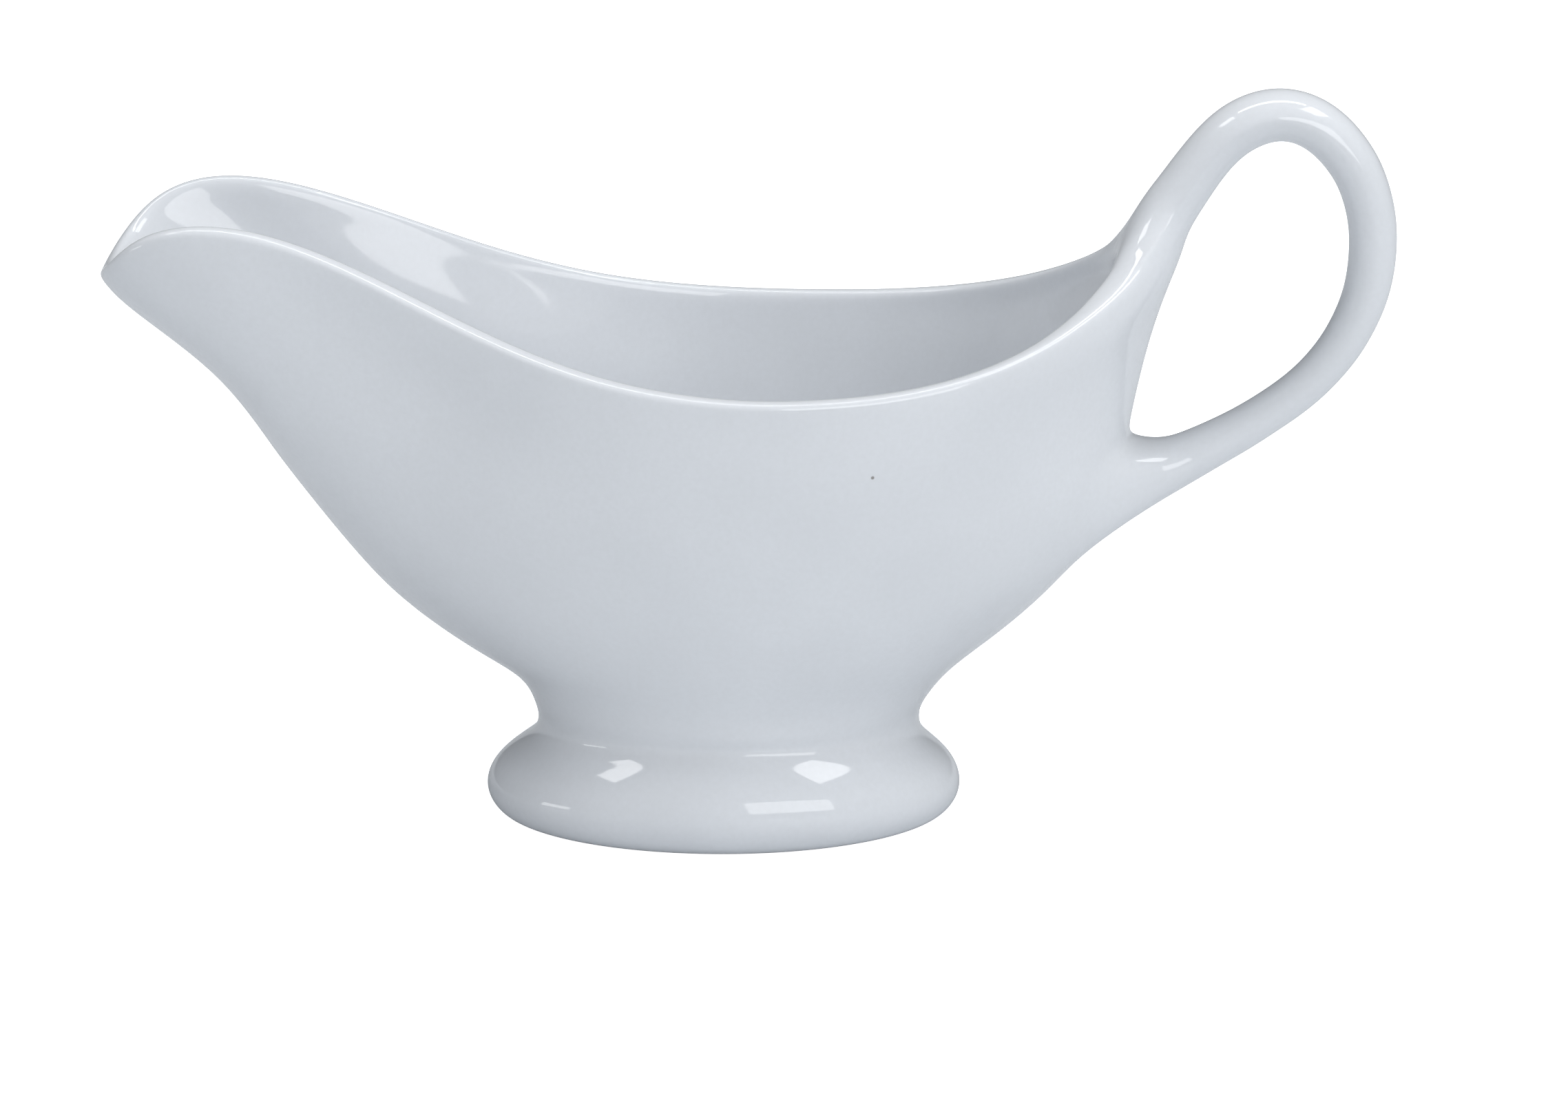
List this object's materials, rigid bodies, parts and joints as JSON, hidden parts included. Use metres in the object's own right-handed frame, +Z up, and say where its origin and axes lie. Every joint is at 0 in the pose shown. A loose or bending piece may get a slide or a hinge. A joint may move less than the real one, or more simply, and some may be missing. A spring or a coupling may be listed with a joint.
{
  "type": "gravy boat",
  "caption": "Glazed porcelain gravy boat: an oval bowl with a long pouring spout, a flared pedestal foot and a high loop handle.",
  "frame": {"origin": "centre of the foot's ring, on the plane that it stands on", "axes": "+Z up, the spout points along -X and the handle along +X; the boat is the same on both sides of the XZ plane"},
  "size_m": [0.2096, 0.0826, 0.1209],
  "materials": {
    "bowl": "gloss",
    "foot": "gloss",
    "handle": "gloss"
  },
  "bodies": {
    "root": {"bowl": "bowl", "foot": "foot", "handle": "handle"}
  },
  "joints": []
}
